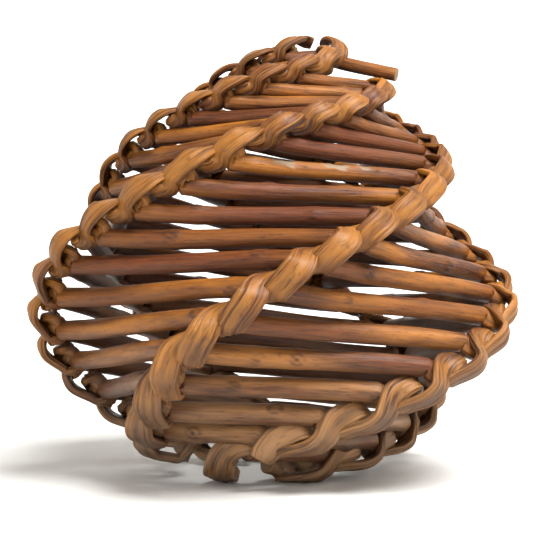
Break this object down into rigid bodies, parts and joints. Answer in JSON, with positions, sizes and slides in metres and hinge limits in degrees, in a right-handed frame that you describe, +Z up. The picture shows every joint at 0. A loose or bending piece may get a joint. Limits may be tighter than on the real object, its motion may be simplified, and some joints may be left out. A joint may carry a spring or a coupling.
{
  "type": "plaited willow ball",
  "caption": "Hollow decorative ball plaited from whole willow rods, broad and rounded below, drawn in above, its folds winding up it in ridges.",
  "frame": {"origin": "on the table, below the middle of the ball's bounding box", "axes": "+Z up, -Y towards the front, where one ridge of folds climbs to the right, +X to the right"},
  "size_m": [0.1251, 0.1226, 0.1136],
  "materials": {
    "willow_bark": "bare willow bark, satin, warm brown"
  },
  "bodies": {
    "root": {"willow_rod_1": "willow_bark", "willow_rod_2": "willow_bark", "willow_rod_3": "willow_bark", "willow_rod_4": "willow_bark", "willow_rod_5": "willow_bark", "willow_rod_6": "willow_bark"}
  },
  "joints": []
}
